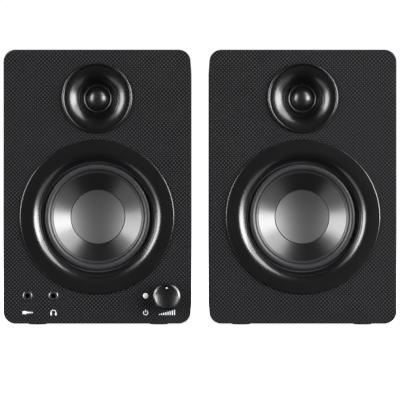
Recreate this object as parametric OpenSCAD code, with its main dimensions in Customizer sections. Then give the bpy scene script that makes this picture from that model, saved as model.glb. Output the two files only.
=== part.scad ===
// A pair of powered desktop speakers: one active cabinet with the controls, amplifier and mains
// supply, and one passive cabinet. Millimetres. +Z is up, the fronts face -Y, and the origin is on
// the desk at the middle of the pair. Each speaker is drawn in its own frame first: x from its
// centre line, y back from the front face of its baffle, z up from the desk. Round parts are drawn
// as (radius, depth) outlines and turned about their own axis.

/* [Pair] */
// Gap between the two cabinets when they stand side by side
speaker_gap = 14; // [2:1:60]

/* [Cabinet] */
// Width of one cabinet
cabinet_w = 140; // [132:1:190]
// Height of one cabinet, without its feet
cabinet_h = 205; // [201:1:260]
// Depth of one cabinet, from the face of the baffle to the back edge of the sleeve
cabinet_d = 180; // [150:1:260]
// Radius of the four long corners
corner_r = 9; // [4:0.5:9]
// Thickness of the folded sleeve: sides, top and bottom
wall_t = 9; // [6:0.5:10.5]
// Thickness of the front baffle
baffle_t = 15; // [14:0.5:20]
// Thickness of the back panel
back_panel_t = 9; // [6:0.5:12]
// How far the back panel lies inside the back edge of the sleeve
back_recess = 1; // [0.5:0.25:4]
// Width of the shadow line between the baffle and the sleeve
shadow_line_w = 1; // [0.5:0.1:2]
// Depth of the shadow line, in from the sides
shadow_line_in = 0.8; // [0.3:0.1:2]

/* [Feet] */
// Diameter of a rubber foot
foot_d = 14; // [8:1:20]
// Thickness of a rubber foot
foot_t = 1.5; // [1:0.25:6]
// From the cabinet's sides and ends to the middle of a foot
foot_inset = 24; // [16:1:40]

/* [Woofer] */
// Height of the woofer's axis above the underside of the cabinet
woofer_rise = 79.8; // [76:0.1:83]
// Outer radius of the trim ring
trim_r = 57.8; // [48:0.1:60]
// How far the trim ring stands in front of the baffle
trim_proud = 1.6; // [1:0.1:3]
// Width of the ring's flat land
trim_land_w = 8.2; // [7:0.1:9]
// Radius of the lip that rolls in towards the cone
trim_lip_r = 8; // [7:0.1:8.5]
// Wall of the ring's shell
trim_shell_t = 2; // [1.5:0.1:2.5]
// Width of the half roll of the surround
roll_w = 5.8; // [5:0.1:6]
// Thickness of the surround's rubber
roll_t = 0.5; // [0.4:0.05:0.8]
// Slope of the cone
cone_slope = 30; // [26:1:34]
// Thickness of the cone, along the axis
cone_t = 0.7; // [0.5:0.1:1]
// Radius of the dished dust cap
cap_r = 20.2; // [17:0.1:23]
// Depth of the dust cap's dish
cap_sag = 3; // [1.5:0.1:3.5]
// Inner radius of the voice coil
coil_r = 12.5; // [11:0.1:13]
// Travel of the cone, each way
woofer_stroke = 3; // [1:0.5:3.5]
// Radius of the ferrite ring magnet
magnet_r = 35; // [30:0.5:40]
// Thickness of the ferrite ring magnet
magnet_t = 12; // [8:0.5:16]
// Thickness of the motor's top plate
top_plate_t = 5; // [4:0.5:6]
// Thickness of the motor's back plate
back_plate_t = 4.5; // [4:0.5:6]

/* [Tweeter] */
// From the top of the cabinet down to the tweeter's axis
tweeter_drop = 36.1; // [36:0.1:40]
// Outer radius of the waveguide's rim
rim_r = 26.5; // [26:0.1:27]
// Width of the raised bead round the rim
bead_w = 2.1; // [1.6:0.1:2.4]
// Radius of the waveguide's flare
flare_r = 12.4; // [11.5:0.1:12.6]
// Radius of the dome where it meets its roll
dome_r = 9.2; // [8.8:0.1:9.4]
// Radius of the sphere that the dome is part of
dome_sphere_r = 12.2; // [11:0.1:14]
// Travel of the dome, each way
tweeter_stroke = 0.3; // [0.1:0.05:0.4]

/* [Controls] */
// Height of the controls above the underside of the cabinet
control_rise = 20.8; // [18:0.1:24]
// From the cabinet's side to the knob's axis
knob_in = 17.7; // [16:0.1:22]
// Radius of the volume knob
knob_r = 10.2; // [8:0.1:12]
// Length of the volume knob
knob_len = 13; // [10:0.5:16]
// Radius of the knob's front face
knob_face_r = 8.7; // [7:0.1:9]
// Depth of the dish in the knob's face
knob_dish = 1.5; // [0.3:0.1:2]
// Radius of the potentiometer's shaft
shaft_r = 3; // [2.5:0.1:3.6]
// Between the axes of the power light and of the knob
led_to_knob = 16; // [14:0.1:20]
// Radius of the power light's lens
led_r = 1.95; // [1.5:0.05:2.5]
// From the cabinet's side to the first jack's axis
jack_in = 18; // [12:0.1:22]
// Between the axes of the two jacks
jack_pitch = 19.4; // [12:0.1:24]
// Bore of a 3.5 mm jack
jack_bore_r = 1.8; // [1.76:0.01:1.85]
// Radius of a jack's front ring
jack_ring_r = 3.5; // [3.3:0.1:5]

/* [Back] */
// From the top of the cabinet down to the reflex port's axis
port_drop = 43; // [40:0.5:48]
// Inner radius of the reflex port
port_r = 17; // [14:0.1:20.4]
// Wall of the port's tube
port_wall_t = 2; // [1.5:0.1:2.5]
// Length of the port's tube behind the panel's face
port_len = 84; // [60:1:90]
// Width of the amplifier's plate
amp_plate_w = 108; // [106:1:112]
// Height of the amplifier's plate
amp_plate_h = 110; // [108:1:114]
// Thickness of the amplifier's plate
amp_plate_t = 1.5; // [1:0.1:2]
// Height of the middle of the amplifier's plate above the underside of the cabinet
amp_plate_rise = 73; // [72:0.5:76]
// Outer radius of a phono socket
phono_r = 4.15; // [4.1:0.01:4.2]
// Length of a phono socket outside the plate
phono_len = 9.5; // [8:0.1:11]
// Bore of a speaker clip, which takes a bare wire
wire_bore_r = 1.6; // [1.2:0.05:1.9]

/* [Hidden] */
$fn = 96;

// Clearances
slip = 0.1;        // between a fixed piece and its seat
free = 0.3;        // round a piece that passes through a hole
pivot_slip = 0.08; // round a pin that turns in a bore
overcut = 1;       // how far a cut runs past the face it opens

// Levels along y, back from the face of the baffle
panel_back = cabinet_d - back_recess;         // outer face of the back panel
panel_front = panel_back - back_panel_t;      // inner face of the back panel
plate_back = panel_back + amp_plate_t;        // outer face of the amplifier's plate

// Heights above the desk
cabinet_z = foot_t;
woofer_z = cabinet_z + woofer_rise;
tweeter_z = cabinet_z + cabinet_h - tweeter_drop;
control_z = cabinet_z + control_rise;
port_z = cabinet_z + cabinet_h - port_drop;
amp_plate_z = cabinet_z + amp_plate_rise;

// Woofer: radii outwards from the axis, and depths
lip_in_r = trim_r - trim_land_w - trim_lip_r;   // inner wall of the trim ring
land_in_r = trim_r - trim_land_w;               // where the lip starts to roll in
lip_d = trim_lip_r - trim_proud;                // depth of the middle of the lip's arc
skirt_r = land_in_r + 2.3;                      // skirt that centres the ring in the baffle
skirt_d = 6;
seat_r = skirt_r + free;                        // counterbore in the baffle
flange_t = 2;
flange_d = lip_d + 2.1;                         // front of the basket's flange
seat_d = flange_d + flange_t;                   // floor of the counterbore
basket_hole_r = seat_r - 7.2;
screw_circle_r = (seat_r + basket_hole_r) / 2 - 0.5;
basket_top_r = basket_hole_r - 0.6;              // outside of the basket where it passes the baffle
spider_seat_r = basket_top_r - 11;
roll_r = roll_w / 2;
roll_out_r = lip_in_r - 1;
roll_mid_r = roll_out_r - roll_r;
cone_rim_r = roll_out_r - roll_w + 0.4;
cone_out_r = cone_rim_r - 1.8;                  // where the slope of the cone starts
coil_wall_t = 0.3;
winding_t = 0.5;
former_r = coil_r + coil_wall_t;
neck_r = former_r + slip;
function cone_depth(r) = flange_d + (cone_out_r - r) * tan(cone_slope);
neck_d = cone_depth(neck_r);
spider_d = neck_d + 9.2;
basket_base_d = spider_d + 5 + woofer_stroke;
plate_d = basket_base_d;                        // front of the motor's top plate
magnet_d = plate_d + top_plate_t;
back_plate_d = magnet_d + magnet_t;

// Tweeter
flare_mid_r = rim_r - bead_w - 0.4;             // middle of the flare's arc, and where its mouth ends
flare_lip_d = -1;
flare_mid_d = flare_lip_d + flare_r;
throat_r = flare_mid_r - flare_r;
spigot_r = rim_r - 4.3;
dome_d = flare_mid_d + 0.7 + tweeter_stroke;      // base of the dome
waveguide_d = dome_d + 1;                       // back of the waveguide
tweeter_plate_t = 3;
tweeter_plate_r = spigot_r - 0.7;
tweeter_screw_r = 18.8;

// Controls and back
knob_x = cabinet_w / 2 - knob_in;
led_x = knob_x - led_to_knob;
aux_x = -(cabinet_w / 2 - jack_in);
headphone_x = aux_x + jack_pitch;
knob_gap = 1;
knob_front = -(knob_gap + knob_len);
board_d = baffle_t + 12;                        // front of the control board
clip_w = 48;
clip_h = 32;
clip_body_w = 34;
clip_body_h = 25;
clip_body_d = 12;
clip_pitch = 16;
clip_bezel_t = 2;
lever_w = 10;
lever_pocket_w = 10.8;
lever_pivot_v = -2.8;
lever_pivot_out = 0.2;
lever_pin_r = 0.9;
active_clip_x = -22;
active_clip_z = amp_plate_z + 31;
passive_clip_z = cabinet_z + 62;
phono_x = 30;
phono_pitch = 14;
phono_z = amp_plate_z + 31;
inlet_x = -22;
inlet_z = amp_plate_z - 27;
inlet_pin_pitch = 8.6;
switch_x = 30;
switch_z = amp_plate_z - 25;
switch_tilt = 9;
amp_board_d = plate_back - 22;                  // back of the amplifier's board
screw_shank_r = 1.5;
screw_hole_r = screw_shank_r + slip / 2;

// Places the pair about the origin
front_y = -(knob_front + plate_back + phono_len) / 2;
speaker_x = (speaker_gap + cabinet_w) / 2;
module on_active() translate([-speaker_x, front_y, 0]) children();
module on_passive() translate([speaker_x, front_y, 0]) children();

// ---------- shapes that repeat ----------

// A rounded rectangle in the x-z plane, drawn from y0 to y1
module slab(w, h, r, y0, y1, x = 0, z = 0) {
    translate([x, y1, z]) rotate([90, 0, 0]) linear_extrude(y1 - y0) {
        if (r > 0) {
            square([w - 2 * r, h], center = true);
            square([w, h - 2 * r], center = true);
            for (sx = [-1, 1], sz = [-1, 1])
                translate([sx * (w / 2 - r), sz * (h / 2 - r)]) circle(r);
        } else {
            square([w, h], center = true);
        }
    }
}

// Turns a (radius, depth) outline about an axis along y at x, z
module turned(x, z) {
    translate([x, 0, z]) rotate([-90, 0, 0]) rotate_extrude() children();
}

// A rectangle of an outline: radii r0 to r1, depths d0 to d1
module band(r0, r1, d0, d1) {
    translate([r0, d0]) square([r1 - r0, d1 - d0]);
}

// A round bar along y
module bar(r, y0, y1, x, z) {
    translate([x, y0, z]) rotate([-90, 0, 0]) cylinder(r = r, h = y1 - y0);
}

// A pan-head screw along y: the head's underside is at y, and the shank points towards dir
module pan_screw(x, y, z, len, dir, head_r = 2.8, shank_r = screw_shank_r) {
    head_h = head_r * 0.65;
    slot_w = head_r * 0.3;
    translate([x, y, z]) rotate([dir > 0 ? -90 : 90, 0, 0]) difference() {
        union() {
            cylinder(r = shank_r, h = len);
            translate([0, 0, -head_h]) cylinder(r1 = head_r * 0.72, r2 = head_r, h = head_h * 0.5);
            translate([0, 0, -head_h * 0.5]) cylinder(r = head_r, h = head_h * 0.5);
        }
        for (a = [0, 90])
            rotate([0, 0, a])
                translate([-head_r * 0.55, -slot_w / 2, -head_h - overcut])
                    cube([head_r * 1.1, slot_w, head_h * 0.6 + overcut]);
    }
}

// Four places round an axis along y, at 45 degrees
module at_four(r, x, z) {
    for (a = [45:90:315]) translate([x + r * cos(a), 0, z + r * sin(a)]) children();
}

// ---------- cabinet ----------

// Sides, top and bottom: one folded and mitred wrap of wood fibre board
module cabinet_sleeve() {
    mid_z = cabinet_z + cabinet_h / 2;
    color("#1b1b1d") difference() {
        slab(cabinet_w, cabinet_h, corner_r, baffle_t, cabinet_d, 0, mid_z);
        slab(
            cabinet_w - 2 * wall_t, cabinet_h - 2 * wall_t, 0,
            baffle_t - overcut, cabinet_d + overcut, 0, mid_z
        );
    }
}

module front_baffle(with_controls) {
    mid_z = cabinet_z + cabinet_h / 2;
    line_w = cabinet_w - 2 * shadow_line_in;
    line_h = cabinet_h - 2 * shadow_line_in;
    color("#2e2e30") difference() {
        union() {
            slab(cabinet_w, cabinet_h, corner_r, 0, baffle_t - shadow_line_w, 0, mid_z);
            slab(
                line_w, line_h, corner_r - shadow_line_in,
                baffle_t - shadow_line_w - slip, baffle_t, 0, mid_z
            );
        }
        bar(seat_r, -overcut, seat_d, 0, woofer_z);
        bar(basket_hole_r, -overcut, baffle_t + overcut, 0, woofer_z);
        at_four(screw_circle_r, 0, woofer_z) bar(screw_hole_r, seat_d - overcut, baffle_t + overcut, 0, 0);
        bar(spigot_r + free / 2, -overcut, baffle_t + overcut, 0, tweeter_z);
        if (with_controls) {
            bar(shaft_r + 1, -overcut, baffle_t + overcut, knob_x, control_z);
            bar(led_r + slip, -overcut, baffle_t + overcut, led_x, control_z);
            for (x = [aux_x, headphone_x])
                bar(jack_ring_r - 0.3, -overcut, baffle_t + overcut, x, control_z);
        }
    }
}

module back_panel() {
    w = cabinet_w - 2 * (wall_t + slip);
    h = cabinet_h - 2 * (wall_t + slip);
    slab(w, h, 0, panel_front, panel_back, 0, cabinet_z + cabinet_h / 2);
}

module port_hole() {
    bar(port_r + port_wall_t + free, panel_front - overcut, panel_back + overcut, 0, port_z);
}

module active_back_panel() {
    color("#1b1b1d") difference() {
        back_panel();
        port_hole();
        slab(
            amp_plate_w - 12, amp_plate_h - 12, 0,
            panel_front - overcut, panel_back + overcut, 0, amp_plate_z
        );
        at_plate_screws() bar(screw_hole_r, panel_front - overcut, panel_back + overcut, 0, 0);
    }
}

module passive_back_panel() {
    color("#1b1b1d") difference() {
        back_panel();
        port_hole();
        slab(
            clip_body_w + free, clip_body_h + free, 0,
            panel_front - overcut, panel_back + overcut, 0, passive_clip_z
        );
        at_clip_screws(0, passive_clip_z)
            bar(screw_hole_r, panel_front - overcut, panel_back + overcut, 0, 0);
    }
}

module feet() {
    x = cabinet_w / 2 - foot_inset;
    color("#141414")
        for (sx = [-1, 1], y = [foot_inset, cabinet_d - foot_inset])
            translate([sx * x, y, 0]) cylinder(d = foot_d, h = foot_t);
}

// ---------- woofer ----------

// A flat land and a lip that rolls in towards the cone; the skirt centres it in the baffle
module woofer_trim_ring() {
    edge = 0.5;
    color("#101012") turned(0, woofer_z) {
        polygon([
            [land_in_r, 0], [land_in_r, -trim_proud], [trim_r - edge, -trim_proud],
            [trim_r, -trim_proud + edge], [trim_r, 0]
        ]);
        difference() {
            intersection() {
                translate([land_in_r, lip_d]) circle(trim_lip_r);
                band(lip_in_r, land_in_r, -trim_proud, lip_d);
            }
            translate([land_in_r, lip_d]) circle(trim_lip_r - trim_shell_t);
        }
        band(lip_in_r, lip_in_r + trim_shell_t, lip_d, flange_d - roll_t - slip);
        band(land_in_r, skirt_r, 0, skirt_d);
    }
}

// Pressed steel frame with windows behind the cone
module woofer_basket() {
    t = 1.6;
    wall_top_r = basket_top_r;
    seat_out_r = spider_seat_r;
    seat_in_r = seat_out_r - 5.4;
    window_w = 20;
    color("#4a4c50") difference() {
        turned(0, woofer_z) polygon([
            [roll_out_r, flange_d], [seat_r - 0.7, flange_d], [seat_r - 0.7, seat_d], [wall_top_r, seat_d],
            [seat_out_r + t, spider_d], [seat_out_r + t, spider_d + t], [seat_in_r + t, spider_d + t],
            [seat_in_r + t, basket_base_d], [former_r + 2, basket_base_d], [former_r + 2, basket_base_d - t],
            [seat_in_r, basket_base_d - t], [seat_in_r, spider_d], [seat_out_r, spider_d],
            [wall_top_r - t, seat_d], [roll_out_r, seat_d]
        ]);
        for (a = [0:60:300])
            translate([0, 0, woofer_z]) rotate([0, a, 0])
                translate([-window_w / 2, seat_d + 3, seat_out_r - 4])
                    cube([window_w, spider_d - seat_d - 6, 20]);
        at_four(screw_circle_r, 0, woofer_z)
            bar(screw_shank_r + free, flange_d - overcut, seat_d + overcut, 0, 0);
    }
}

// Rubber half roll between the basket's flange and the cone's rim
module woofer_surround() {
    color("#37373a") turned(0, woofer_z) {
        difference() {
            translate([roll_mid_r, flange_d]) circle(roll_r);
            translate([roll_mid_r, flange_d]) circle(roll_r - roll_t);
            band(roll_mid_r - roll_w, roll_mid_r + roll_w, flange_d, flange_d + roll_w);
        }
        band(roll_out_r - roll_t, roll_out_r + 3.4, flange_d - roll_t, flange_d);
        band(cone_out_r, roll_mid_r - roll_r + roll_t, flange_d - roll_t, flange_d);
    }
}

module woofer_cone() {
    color("#5a5b5e") turned(0, woofer_z) polygon([
        [cone_rim_r, flange_d], [cone_out_r, flange_d], [neck_r, neck_d], [neck_r, neck_d + cone_t],
        [cone_out_r, flange_d + cone_t], [cone_rim_r, flange_d + cone_t]
    ]);
}

// A shallow dish, glued to the cone by its rim
module woofer_dust_cap() {
    t = 0.5;
    dish_r = (cap_r * cap_r + cap_sag * cap_sag) / (2 * cap_sag);
    rim_d = cone_depth(cap_r) - t - slip;
    color("#4c4d50") turned(0, woofer_z) intersection() {
        difference() {
            translate([0, rim_d + cap_sag - dish_r]) circle(dish_r + t, $fn = 256);
            translate([0, rim_d + cap_sag - dish_r]) circle(dish_r, $fn = 256);
        }
        band(0, cap_r, rim_d - t, rim_d + cap_sag + 2 * t);
    }
}

// Paper former with the copper winding at its back end
module woofer_voice_coil() {
    overhang = 1.5;
    color("#a8642f") turned(0, woofer_z) {
        band(coil_r, former_r, neck_d + cone_t / 2, magnet_d + overhang);
        band(former_r - 0.05, former_r + winding_t, plate_d - overhang, magnet_d + overhang);
    }
}

// Corrugated cloth disc that centres the coil
module woofer_spider() {
    t = 0.5;
    flat_r = spider_seat_r - 5.2;
    waves = 4;
    steps = 12 * waves;
    function wave_r(i) = neck_r + 1 + (flat_r - neck_r - 1) * i / steps;
    function wave_d(i) = spider_d - t - 1.1 * pow(sin(180 * waves * i / steps), 2);
    front = [for (i = [0:steps]) [wave_r(i), wave_d(i)]];
    back = [for (i = [steps:-1:0]) [wave_r(i), wave_d(i) + t]];
    color("#b98a3a") turned(0, woofer_z) polygon(concat(
        [[neck_r, spider_d - t]], front,
        [[spider_seat_r - 0.2, spider_d - t], [spider_seat_r - 0.2, spider_d]],
        back, [[neck_r, spider_d]]
    ));
}

module woofer_top_plate() {
    color("#8a8d91") turned(0, woofer_z)
        band(former_r + winding_t + 0.5, magnet_r - 3, plate_d, magnet_d);
}

module woofer_magnet() {
    color("#26262a") turned(0, woofer_z) band(former_r + 4.2, magnet_r, magnet_d, back_plate_d);
}

// Back plate and pole piece in one, with a vent down the middle
module woofer_yoke() {
    vent_r = 4;
    color("#8a8d91") turned(0, woofer_z) {
        band(vent_r, coil_r - 0.5, plate_d, back_plate_d + slip);
        band(vent_r, magnet_r - 3, back_plate_d, back_plate_d + back_plate_t);
    }
}

// ---------- tweeter ----------

// Rim bead, flare and throat in one moulding; its spigot is a push fit in the baffle
module tweeter_waveguide() {
    bead_r = bead_w / 2;
    color("#0e0e10") difference() {
        turned(0, tweeter_z) {
            intersection() {
                translate([flare_mid_r, flare_mid_d]) circle(flare_r);
                union() {
                    band(throat_r, spigot_r, flare_lip_d, flare_mid_d);
                    band(throat_r, flare_mid_r, flare_lip_d, 0);
                }
            }
            band(throat_r, spigot_r, flare_mid_d, waveguide_d);
            band(flare_mid_r, rim_r, flare_lip_d - 0.2, 0);
            translate([rim_r - bead_r, flare_lip_d - 0.2]) circle(bead_r);
        }
        at_tweeter_screws() bar(1.15, 8.5, waveguide_d + overcut, 0, 0);
    }
}

module at_tweeter_screws() {
    for (a = [90, 210, 330])
        translate([tweeter_screw_r * cos(a), 0, tweeter_z + tweeter_screw_r * sin(a)]) children();
}

// Coated cloth dome with its own small roll, and the coil former behind it
module tweeter_dome() {
    t = 0.4;
    base_d = sqrt(dome_sphere_r * dome_sphere_r - dome_r * dome_r);
    roll_out = throat_r - free;
    ring_r = (roll_out - dome_r - 0.2) / 2;
    color("#1c1c1f") turned(0, tweeter_z) {
        intersection() {
            difference() {
                translate([0, dome_d + base_d]) circle(dome_sphere_r);
                translate([0, dome_d + base_d]) circle(dome_sphere_r - t);
            }
            band(0, dome_r, dome_d - dome_r, dome_d);
        }
        difference() {
            translate([roll_out - ring_r, dome_d]) circle(ring_r);
            translate([roll_out - ring_r, dome_d]) circle(ring_r - t);
            band(dome_r, roll_out + t, dome_d, dome_d + dome_r);
        }
        band(dome_r - 0.3, dome_r + 0.3, dome_d - 0.2, dome_d + 0.2);
        band(dome_r - 0.25, dome_r, dome_d, dome_d + 5);
    }
}

// Top plate, cup, magnet and pole plate, glued and screwed behind the waveguide
module tweeter_motor() {
    gap = 0.6;
    plate_end = waveguide_d + tweeter_plate_t;
    cup_end = plate_end + 11;
    cup_r = 16;
    floor_t = 3;
    color("#5c5f64") {
        difference() {
            turned(0, tweeter_z) band(dome_r + gap, tweeter_plate_r, waveguide_d, plate_end);
            at_tweeter_screws() bar(1.3, waveguide_d - overcut, plate_end + overcut, 0, 0);
        }
        turned(0, tweeter_z) {
            band(cup_r - 2, cup_r, plate_end, cup_end);
            band(0, cup_r, cup_end - floor_t, cup_end);
        }
        bar(dome_r - gap, waveguide_d + 0.2, plate_end + 0.2, 0, tweeter_z);
        bar(dome_r - 2 * gap, plate_end + 0.2, cup_end - floor_t, 0, tweeter_z);
    }
}

// ---------- reflex port ----------

module reflex_port() {
    flange_r = port_r + port_wall_t + 7;
    flange_out = 2.5;
    mouth_r = 5;
    mouth_y = panel_back + flange_out;
    color("#161618") turned(0, port_z) difference() {
        union() {
            band(port_r, port_r + port_wall_t, panel_back - port_len, panel_back);
            band(port_r, flange_r, panel_back, mouth_y);
        }
        difference() {
            band(port_r - overcut, port_r + mouth_r, mouth_y - mouth_r, mouth_y + overcut);
            translate([port_r + mouth_r, mouth_y - mouth_r]) circle(mouth_r);
        }
    }
}

// ---------- speaker clips ----------

module at_clip_screws(x, z) {
    for (sx = [-1, 1]) translate([x + sx * (clip_w / 2 - 3.5), 0, z]) children();
}

// Housing for two sprung levers, each over a hole for a bare wire; face is the y of the surface
// that it is fixed to
module clip_block(x, face, z) {
    pocket_v0 = -4.5;
    pocket_v1 = 10.7;
    wire_v = -8.6;
    color("#18181a") difference() {
        union() {
            slab(clip_w, clip_h, 2, face, face + clip_bezel_t, x, z);
            slab(clip_body_w, clip_body_h, 0, face - clip_body_d, face + slip, x, z);
        }
        for (sx = [-1, 1]) translate([x + sx * clip_pitch / 2, face, z]) {
            translate([-lever_pocket_w / 2, -8, pocket_v0])
                cube([lever_pocket_w, 8 + clip_bezel_t + overcut, pocket_v1 - pocket_v0]);
            bar(wire_bore_r, -8, clip_bezel_t + overcut, 0, wire_v);
            translate([-lever_pocket_w / 2 - 0.8, lever_pivot_out, lever_pivot_v]) rotate([0, 90, 0])
                cylinder(r = lever_pin_r + pivot_slip, h = lever_pocket_w + 1.6);
        }
        at_clip_screws(x, z) bar(screw_shank_r + free, face - overcut, face + clip_bezel_t + overcut, 0, 0);
    }
}

// side is -1 for the lever on the left of the block, seen from the front, and 1 for the one on the right
module clip_lever(x, face, z, side) {
    translate([x + side * clip_pitch / 2, face + lever_pivot_out, z + lever_pivot_v]) {
        translate([-lever_w / 2, 0, 0]) rotate([90, 0, 90]) linear_extrude(lever_w) {
            circle(1.5);
            polygon([[-1.2, 0.3], [2.6, -1.3], [3.4, 0.5], [6.6, 10.4], [5.6, 11.4], [1.2, 11.4], [-1.2, 3]]);
        }
        translate([-lever_pocket_w / 2 - 0.6, 0, 0]) rotate([0, 90, 0])
            cylinder(r = lever_pin_r, h = lever_pocket_w + 1.2);
    }
}

module clip_lever_red(x, face, z) color("#b3221f") clip_lever(x, face, z, -1);
module clip_lever_black(x, face, z) color("#151515") clip_lever(x, face, z, 1);

// ---------- front controls ----------

module volume_knob() {
    bevel = knob_r - knob_face_r;
    dish_r = (knob_face_r * knob_face_r + knob_dish * knob_dish) / (2 * knob_dish);
    color("#121214") turned(knob_x, control_z) difference() {
        polygon([
            [0, knob_front], [knob_face_r, knob_front], [knob_r - 0.25, knob_front + bevel / 2],
            [knob_r, knob_front + bevel],
            [knob_r, -knob_gap], [0, -knob_gap]
        ]);
        translate([0, knob_front + knob_dish - dish_r]) circle(dish_r, $fn = 256);
        band(0, shaft_r + pivot_slip, knob_front + 3, 0);
    }
}

module volume_shaft() {
    color("#b9bcc0") bar(shaft_r, knob_front + 3, baffle_t + 3, knob_x, control_z);
}

// Potentiometer: its bush reaches into the baffle from behind
module volume_pot() {
    body_r = 6.5;
    body_end = baffle_t + 7.5;
    color("#7d8085") difference() {
        union() {
            bar(shaft_r + 0.7, baffle_t - 8, baffle_t + 1, knob_x, control_z);
            bar(body_r, baffle_t + slip, body_end, knob_x, control_z);
            slab(9, 9, 0, body_end - slip, board_d, knob_x, control_z);
        }
        bar(shaft_r + pivot_slip, baffle_t - 9, baffle_t + 4, knob_x, control_z);
    }
}

// Light guide from the board to the lens in the baffle
module power_led() {
    lens_out = 0.5;
    color("#e9ecef") {
        bar(led_r, -lens_out, board_d - 3, led_x, control_z);
        slab(5, 5, 0, board_d - 3, board_d, led_x, control_z);
    }
}

// 3.5 mm socket: metal ring and barrel in the baffle, moulded body behind it
module jack_socket(x) {
    ring_out = 0.6;
    plug_len = 14;
    color("#8f9296") difference() {
        union() {
            turned(x, control_z) polygon([
                [0, -ring_out], [jack_ring_r - 0.5, -ring_out],
                [jack_ring_r, -ring_out + 0.4], [jack_ring_r, 0],
                [jack_ring_r - 0.5, 0], [jack_ring_r - 0.5, baffle_t + 1], [0, baffle_t + 1]
            ]);
            slab(8.4, 10.4, 0, baffle_t + slip, board_d, x, control_z);
        }
        bar(jack_bore_r, -ring_out - overcut, plug_len - ring_out, x, control_z);
    }
}

module aux_jack() jack_socket(aux_x);
module headphone_jack() jack_socket(headphone_x);

module control_board() {
    color("#1f5a3a") slab(cabinet_w - 2 * wall_t - 4, 19, 1, board_d, board_d + 1.6, 0, control_z);
}

// ---------- amplifier and back controls ----------

module at_plate_screws() {
    x = amp_plate_w / 2 - 3.2;
    z = amp_plate_h / 2 - 3.2;
    for (sx = [-1, 1], v = [-z, 0, z]) translate([sx * x, 0, amp_plate_z + v]) children();
    for (v = [-z, z]) translate([0, 0, amp_plate_z + v]) children();
}

module at_board_posts() {
    for (sx = [-1, 1], v = [-41, 41]) translate([sx * 42, 0, amp_plate_z + v]) children();
}

// Back plate of the amplifier, with four posts for the board
module amp_plate() {
    color("#1d1e20") {
        difference() {
            slab(amp_plate_w, amp_plate_h, 2, panel_back, plate_back, 0, amp_plate_z);
            at_plate_screws() bar(screw_shank_r + free, panel_back - overcut, plate_back + overcut, 0, 0);
            amp_plate_cuts();
        }
        at_board_posts() bar(2.5, amp_board_d, panel_back, 0, 0);
    }
}

module amp_plate_cuts() {
    y0 = panel_back - overcut;
    y1 = plate_back + overcut;
    slab(clip_body_w + free, clip_body_h + free, 0, y0, y1, active_clip_x, active_clip_z);
    at_clip_screws(active_clip_x, active_clip_z) bar(screw_hole_r, y0, y1, 0, 0);
    for (sx = [-1, 1]) bar(phono_r + 0.85, y0, y1, phono_x + sx * phono_pitch / 2, phono_z);
    slab(20.6, 12.6, 0, y0, y1, inlet_x, inlet_z);
    at_inlet_screws() bar(screw_hole_r, y0, y1, 0, 0);
    slab(14.6, 20.6, 0, y0, y1, switch_x, switch_z);
}

// Circuit board with its larger components
module amp_board() {
    front = amp_board_d - 1.6;
    color("#1f5a3a") difference() {
        slab(90, 88, 1, front, amp_board_d, 0, amp_plate_z);
        at_board_posts() bar(1.6, front - overcut, amp_board_d + overcut, 0, 0);
    }
    color("#1a1c28") for (x = [-24, 24]) bar(8, front - 22, front, x, amp_plate_z - 16);
    color("#8a5a2a") bar(9, front - 10, front, 0, amp_plate_z - 18);
    color("#202022") for (x = [-8, 8]) slab(12, 10, 0, front - 4, front, x, amp_plate_z + 6);
}

// Finned aluminium block over the output chips
module heatsink() {
    front = amp_board_d - 1.6;
    z = amp_plate_z + 28;
    fins = 8;
    color("#9a9da1") union() {
        slab(64, 24, 0, front - 4, front, 0, z);
        for (i = [0:fins - 1]) slab(2, 24, 0, front - 22, front - 3.9, -31 + i * 62 / (fins - 1), z);
    }
}

// Laminated core with two windings, standing on the cabinet's floor
module transformer() {
    floor_z = cabinet_z + wall_t;
    y = plate_back - 77;
    color("#55585c") {
        difference() {
            translate([-25, y - 14, floor_z]) cube([50, 28, 42]);
            for (sx = [-1, 1])
                translate([sx * 12.5 - 4.5, y - 14 - overcut, floor_z + 8]) cube([9, 28 + 2 * overcut, 26]);
        }
        for (sx = [-1, 1]) difference() {
            translate([sx * 31 - 6, y - 8, floor_z]) cube([12, 16, 2]);
            translate([sx * 32, y, floor_z - overcut]) cylinder(r = screw_shank_r + free, h = 4);
        }
    }
    color("#a8642f") difference() {
        translate([-16.8, y - 19, floor_z + 8.2]) cube([33.6, 38, 25.6]);
        translate([-8.2, y - 14.2, floor_z]) cube([16.4, 28.4, 42]);
    }
}

// A metal sleeve with a centre contact hole, on a moulded body behind the plate
module phono_sockets() {
    collar_r = phono_r + 1.85;
    color("#b9bcc0") for (sx = [-1, 1]) {
        x = phono_x + sx * phono_pitch / 2;
        difference() {
            union() {
                bar(phono_r, plate_back, plate_back + phono_len, x, phono_z);
                bar(collar_r, plate_back, plate_back + 1.2, x, phono_z);
                bar(phono_r + 0.6, panel_back - 1, plate_back + slip, x, phono_z);
                slab(12, 14, 0, panel_back - 11, panel_back - slip, x, phono_z);
            }
            turned(x, phono_z) {
                band(0, 1.6, plate_back + phono_len - 8, plate_back + phono_len + overcut);
                band(2.6, 3.6, plate_back + phono_len - 6, plate_back + phono_len + overcut);
            }
        }
    }
}

module at_inlet_screws() {
    for (sx = [-1, 1]) translate([inlet_x + sx * 13.6, 0, inlet_z]) children();
}

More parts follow.
